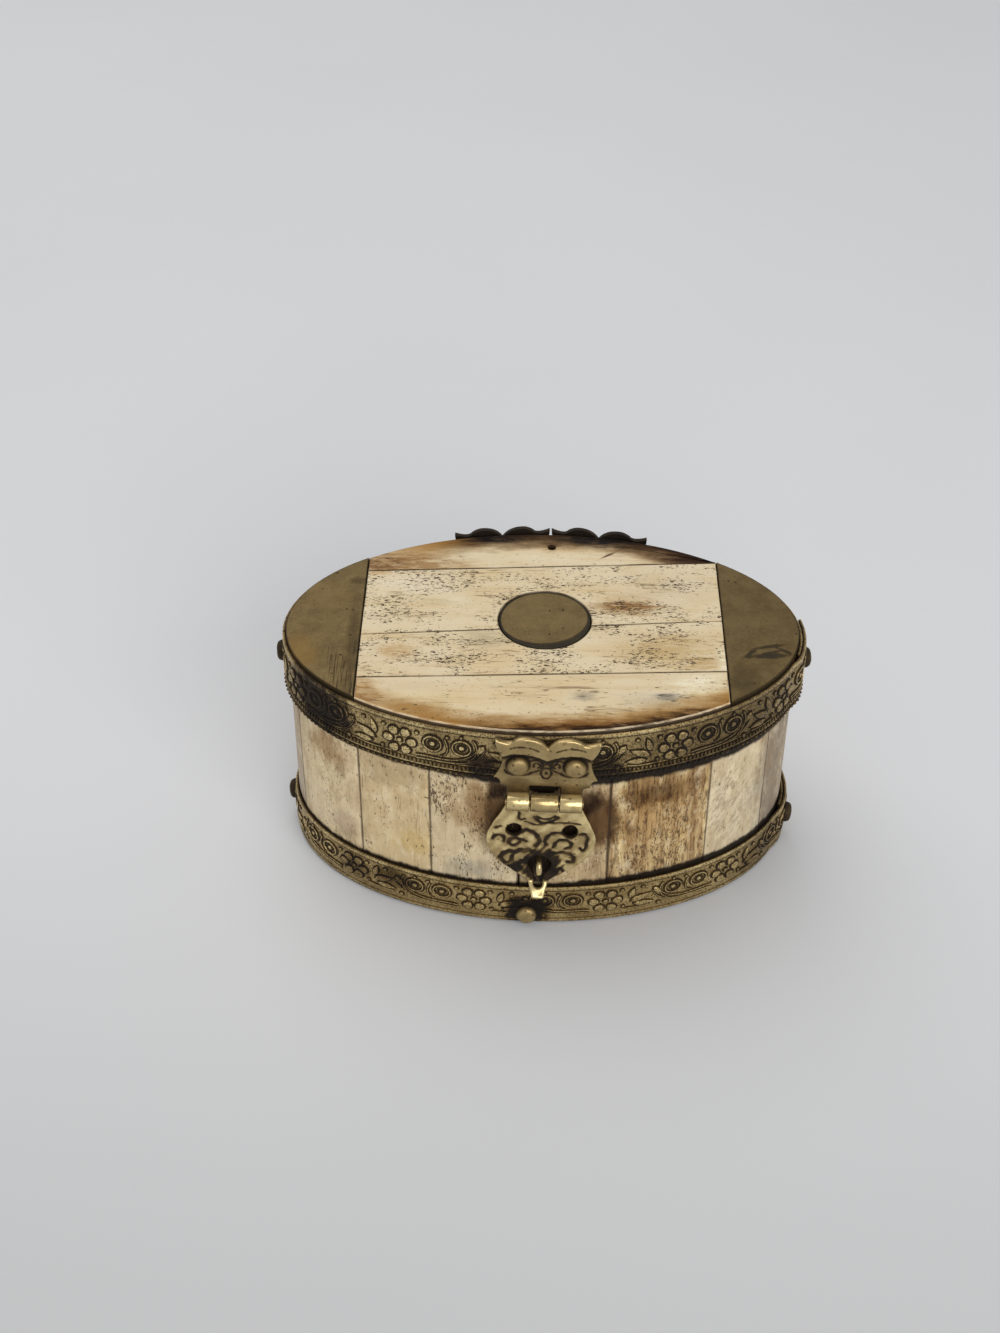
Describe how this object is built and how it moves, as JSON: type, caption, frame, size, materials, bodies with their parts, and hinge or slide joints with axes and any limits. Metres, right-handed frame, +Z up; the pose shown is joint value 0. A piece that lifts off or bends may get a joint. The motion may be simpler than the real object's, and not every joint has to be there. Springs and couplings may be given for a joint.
{
  "type": "trinket box",
  "caption": "Oval keepsake box of wood faced with bone slats and planks and bound in embossed brass strip, with a hinged lid and a hanging hasp over a staple.",
  "frame": {"origin": "on the resting surface, under the middle of the base", "axes": "+X along the box to the right, -Y towards the hasp side, +Z up"},
  "size_m": [0.1054, 0.071, 0.051],
  "materials": {
    "wood": "plain brown wood",
    "slat_bone": "polished old bone",
    "plank_bone": "polished old bone",
    "band_brass": "embossed, tarnished",
    "plate_brass": "brushed, tarnished",
    "nail_brass": "satin",
    "leaf_brass": "stamped, satin",
    "wire_brass": "rubbed bright"
  },
  "bodies": {
    "box": {"base_board": "wood", "wall_ring": "wood", "side_slat_01": "slat_bone", "side_slat_02": "slat_bone", "side_slat_03": "slat_bone", "side_slat_04": "slat_bone", "side_slat_05": "slat_bone", "side_slat_06": "slat_bone", "side_slat_07": "slat_bone", "side_slat_08": "slat_bone", "side_slat_09": "slat_bone", "side_slat_10": "slat_bone", "side_slat_11": "slat_bone", "side_slat_12": "slat_bone", "side_slat_13": "slat_bone", "side_slat_14": "slat_bone", "side_slat_15": "slat_bone", "base_band": "band_brass", "base_nail_left": "nail_brass", "base_nail_front": "nail_brass", "base_nail_right": "nail_brass", "base_nail_rear": "nail_brass", "staple": "wire_brass", "hinge_left_lower_leaf": "leaf_brass", "hinge_right_lower_leaf": "leaf_brass", "hinge_left_lower_nail_a": "nail_brass", "hinge_left_lower_nail_b": "nail_brass", "hinge_right_lower_nail_a": "nail_brass", "hinge_right_lower_nail_b": "nail_brass"},
    "lid": {"lid_board": "wood", "lid_rim": "wood", "plank_rear": "plank_bone", "plank_mid_rear": "plank_bone", "plank_mid_front": "plank_bone", "plank_front": "plank_bone", "end_plate_left": "plate_brass", "end_plate_right": "plate_brass", "roundel": "plate_brass", "lid_band": "band_brass", "lid_nail_left": "nail_brass", "lid_nail_right": "nail_brass", "hasp_leaf": "leaf_brass", "hasp_nail_a": "nail_brass", "hasp_nail_b": "nail_brass", "hasp_pin": "wire_brass", "hinge_left_upper_leaf": "leaf_brass", "hinge_right_upper_leaf": "leaf_brass", "hinge_left_upper_nail_a": "nail_brass", "hinge_left_upper_nail_b": "nail_brass", "hinge_right_upper_nail_a": "nail_brass", "hinge_right_upper_nail_b": "nail_brass", "hinge_left_pin": "wire_brass", "hinge_right_pin": "wire_brass"},
    "hasp": {"hasp_plate": "leaf_brass"}
  },
  "joints": [
    {"name": "lid_hinge", "type": "hinge", "parent": "box", "child": "lid", "pos_m": [0, 0.0337, 0.0362], "axis": [-1, 0, 0], "range_deg": [0, 165]},
    {"name": "hasp_swing", "type": "hinge", "parent": "lid", "child": "hasp", "pos_m": [0.0007, -0.0337, 0.035], "axis": [-0.9993, 0, 0.0384], "range_deg": [0, 170]}
  ]
}
